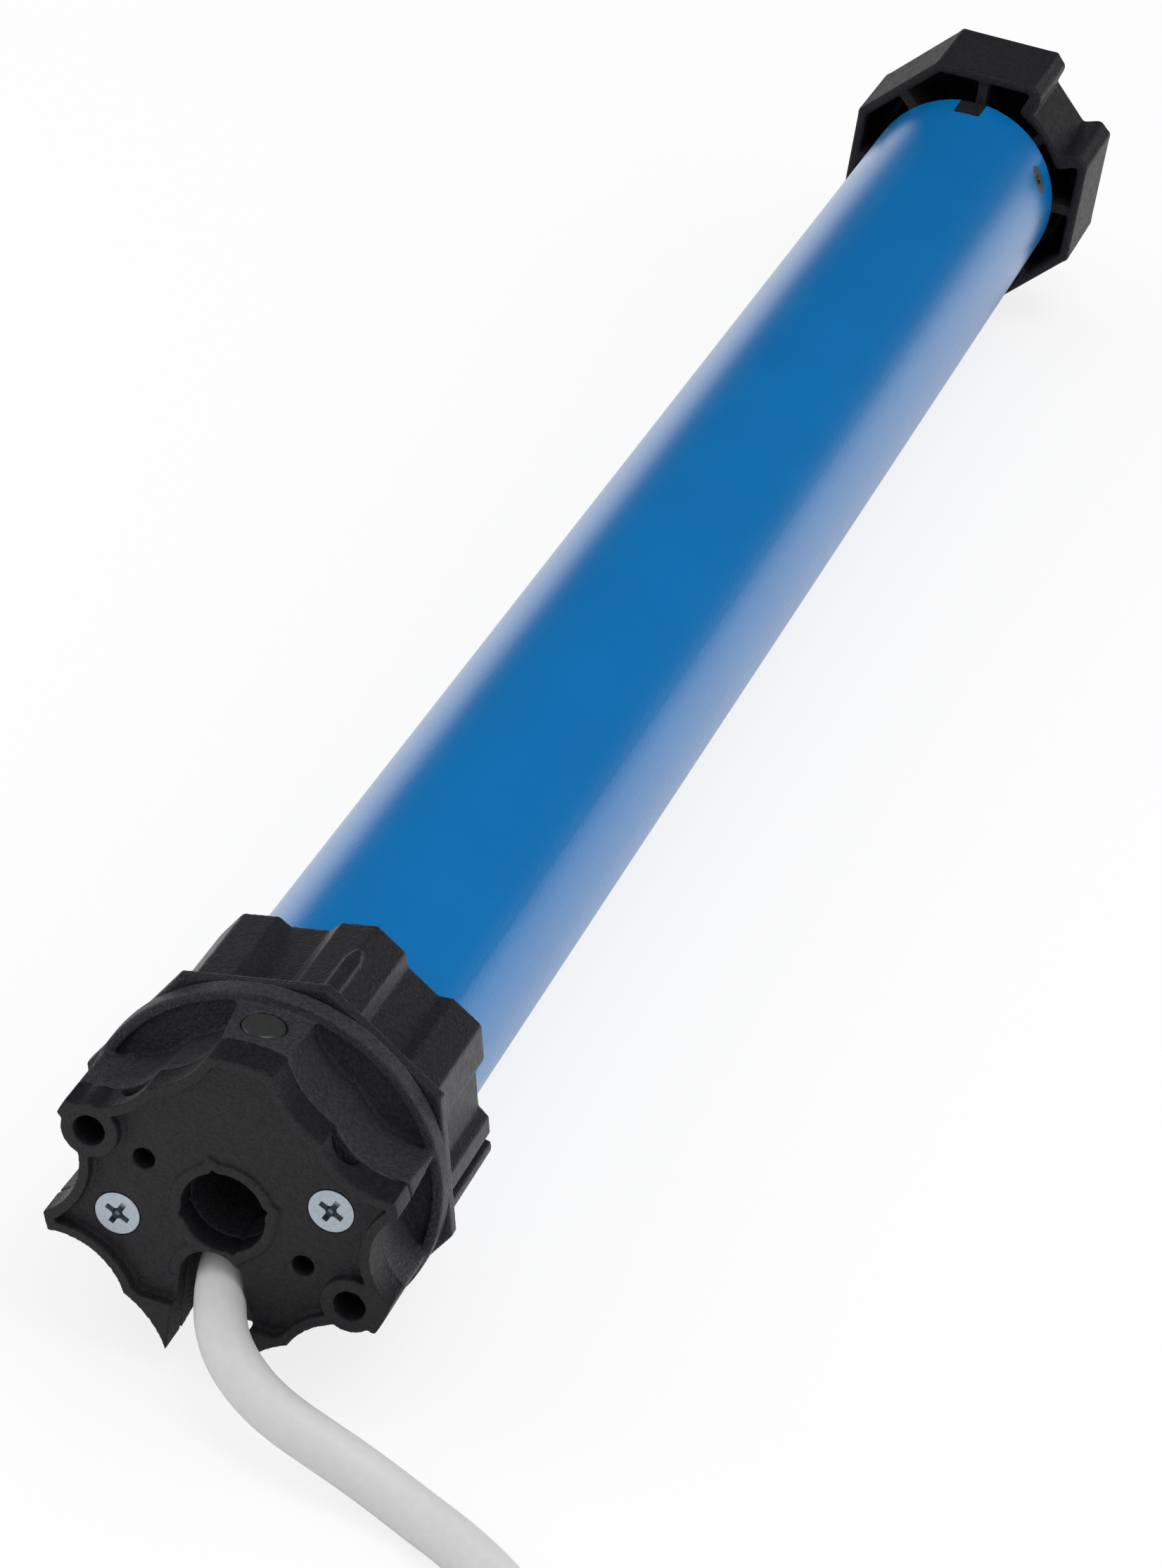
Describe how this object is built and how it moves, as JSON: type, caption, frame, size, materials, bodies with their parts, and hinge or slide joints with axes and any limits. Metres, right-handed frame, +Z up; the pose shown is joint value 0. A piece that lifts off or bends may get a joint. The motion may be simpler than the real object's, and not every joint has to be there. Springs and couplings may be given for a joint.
{
  "type": "tubular roller blind motor",
  "caption": "Round tube motor for a roller blind, with a star-shaped fixing head, an octagonal crown, an octagonal drive wheel and a coiled supply lead.",
  "frame": {"origin": "on the motor's axis, in the plane in which the two fixing bosses of the head meet the bracket", "axes": "+X along the motor axis from the fixing head to the drive wheel; +Z up as the motor lies, through the set button; Y is level, +Y on the left when the head is seen from the front"},
  "size_m": [0.7049, 0.142, 0.063],
  "materials": {
    "black_plastic": "satin",
    "dark_plastic": "satin",
    "button_plastic": "semi-gloss",
    "blue_paint": "satin",
    "screw_zinc": "bright zinc",
    "screw_steel": "plain",
    "spring_steel": "plain",
    "bearing_steel": "ground",
    "core_steel": "plain",
    "gear_steel": "plain",
    "cast_metal": "cast",
    "brass_pins": "plain",
    "copper": "enamelled",
    "board_green": "satin",
    "relay_blue": "semi-gloss",
    "sleeve_blue": "semi-gloss",
    "terminal_green": "satin",
    "white_plastic": "satin",
    "friction_grey": "rough",
    "gear_plastic": "satin",
    "white_sheath": "satin",
    "core_sheath": "satin"
  },
  "bodies": {
    "motor_body": {"head_cover": "black_plastic", "head_body": "black_plastic", "cover_screws": "screw_zinc", "button_spring": "spring_steel", "switch_board": "board_green", "program_switch": "dark_plastic", "cable_plug": "dark_plastic", "plug_pins": "brass_pins", "tube": "blue_paint", "head_screws": "screw_steel", "tube_screws": "screw_steel", "board_carrier": "dark_plastic", "control_board": "board_green", "relays": "relay_blue", "transformer": "core_steel", "supply_capacitor": "sleeve_blue", "terminal_block": "terminal_green", "run_capacitor": "white_plastic", "capacitor_clamps": "dark_plastic", "front_shield": "cast_metal", "front_bearing": "bearing_steel", "stator_core": "core_steel", "stator_windings": "copper", "rear_shield": "cast_metal", "rear_bearing": "bearing_steel", "brake_housing": "dark_plastic", "gear_ring": "cast_metal", "end_plug": "black_plastic", "output_bearing": "brass_pins", "free_lead": "white_sheath", "lead_coil": "white_sheath", "lead_cores": "core_sheath", "core_ferrules": "screw_zinc"},
    "crown": {"crown": "black_plastic"},
    "set_button": {"set_button": "button_plastic"},
    "drive": {"output_carrier": "gear_steel", "output_pins": "screw_zinc", "drive_wheel": "black_plastic", "wheel_clip": "spring_steel"},
    "stage_2": {"carrier_2": "gear_steel", "carrier_2_pins": "screw_zinc"},
    "stage_1": {"carrier_1": "gear_steel", "carrier_1_pins": "screw_zinc"},
    "rotor": {"rotor_core": "core_steel", "rotor_shaft": "bearing_steel", "brake_disc": "friction_grey", "sun_pinion": "brass_pins"},
    "armature": {"brake_armature": "core_steel", "brake_spring": "spring_steel"},
    "planet_1a": {"planet_1a": "gear_plastic"},
    "planet_1b": {"planet_1b": "gear_plastic"},
    "planet_1c": {"planet_1c": "gear_plastic"},
    "planet_2a": {"planet_2a": "gear_plastic"},
    "planet_2b": {"planet_2b": "gear_plastic"},
    "planet_2c": {"planet_2c": "gear_plastic"},
    "planet_3a": {"planet_3a": "gear_plastic"},
    "planet_3b": {"planet_3b": "gear_plastic"},
    "planet_3c": {"planet_3c": "gear_plastic"}
  },
  "joints": [
    {"name": "drive_spin", "type": "hinge", "parent": "motor_body", "child": "drive", "pos_m": [0.45, 0, 0], "axis": [1, 0, 0], "continuous": true},
    {"name": "carrier_2_spin", "type": "hinge", "parent": "motor_body", "child": "stage_2", "pos_m": [0.39, 0, 0], "axis": [1, 0, 0], "continuous": true},
    {"name": "carrier_1_spin", "type": "hinge", "parent": "motor_body", "child": "stage_1", "pos_m": [0.373, 0, 0], "axis": [1, 0, 0], "continuous": true},
    {"name": "rotor_spin", "type": "hinge", "parent": "motor_body", "child": "rotor", "pos_m": [0.29, 0, 0], "axis": [1, 0, 0], "continuous": true},
    {"name": "planet_3a_spin", "type": "hinge", "parent": "drive", "child": "planet_3a", "pos_m": [0.402, 0.0099, 0], "axis": [1, 0, 0], "continuous": true},
    {"name": "planet_3b_spin", "type": "hinge", "parent": "drive", "child": "planet_3b", "pos_m": [0.402, -0.00495, 0.00857], "axis": [1, 0, 0], "continuous": true},
    {"name": "planet_3c_spin", "type": "hinge", "parent": "drive", "child": "planet_3c", "pos_m": [0.402, -0.00495, -0.00857], "axis": [1, 0, 0], "continuous": true},
    {"name": "planet_2a_spin", "type": "hinge", "parent": "stage_2", "child": "planet_2a", "pos_m": [0.382, 0.0099, 0], "axis": [1, 0, 0], "continuous": true},
    {"name": "planet_2b_spin", "type": "hinge", "parent": "stage_2", "child": "planet_2b", "pos_m": [0.382, -0.00495, 0.00857], "axis": [1, 0, 0], "continuous": true},
    {"name": "planet_2c_spin", "type": "hinge", "parent": "stage_2", "child": "planet_2c", "pos_m": [0.382, -0.00495, -0.00857], "axis": [1, 0, 0], "continuous": true},
    {"name": "planet_1a_spin", "type": "hinge", "parent": "stage_1", "child": "planet_1a", "pos_m": [0.366, 0.0099, 0], "axis": [1, 0, 0], "continuous": true},
    {"name": "planet_1b_spin", "type": "hinge", "parent": "stage_1", "child": "planet_1b", "pos_m": [0.366, -0.00495, 0.00857], "axis": [1, 0, 0], "continuous": true},
    {"name": "planet_1c_spin", "type": "hinge", "parent": "stage_1", "child": "planet_1c", "pos_m": [0.366, -0.00495, -0.00857], "axis": [1, 0, 0], "continuous": true},
    {"name": "crown_spin", "type": "hinge", "parent": "motor_body", "child": "crown", "pos_m": [0.034, 0, 0], "axis": [1, 0, 0], "continuous": true},
    {"name": "button_press", "type": "slide", "parent": "motor_body", "child": "set_button", "axis": [0, 0, -1], "range_m": [0, 0.001], "stiffness_N_per_m": 1500, "springref_m": -0.001, "deforming": ["button_spring"]},
    {"name": "brake_release", "type": "slide", "parent": "motor_body", "child": "armature", "axis": [1, 0, 0], "range_m": [0, 0.0006], "stiffness_N_per_m": 8000, "springref_m": -0.004}
  ],
  "couplings": [
    {"joint": "carrier_2_spin", "follows": "drive_spin", "ratio": 5.5},
    {"joint": "carrier_1_spin", "follows": "drive_spin", "ratio": 30.25},
    {"joint": "rotor_spin", "follows": "drive_spin", "ratio": 166.38},
    {"joint": "planet_3a_spin", "follows": "drive_spin", "ratio": -2.5714},
    {"joint": "planet_3b_spin", "follows": "drive_spin", "ratio": -2.5714},
    {"joint": "planet_3c_spin", "follows": "drive_spin", "ratio": -2.5714},
    {"joint": "planet_2a_spin", "follows": "drive_spin", "ratio": -14.143},
    {"joint": "planet_2b_spin", "follows": "drive_spin", "ratio": -14.143},
    {"joint": "planet_2c_spin", "follows": "drive_spin", "ratio": -14.143},
    {"joint": "planet_1a_spin", "follows": "drive_spin", "ratio": -77.786},
    {"joint": "planet_1b_spin", "follows": "drive_spin", "ratio": -77.786},
    {"joint": "planet_1c_spin", "follows": "drive_spin", "ratio": -77.786}
  ]
}
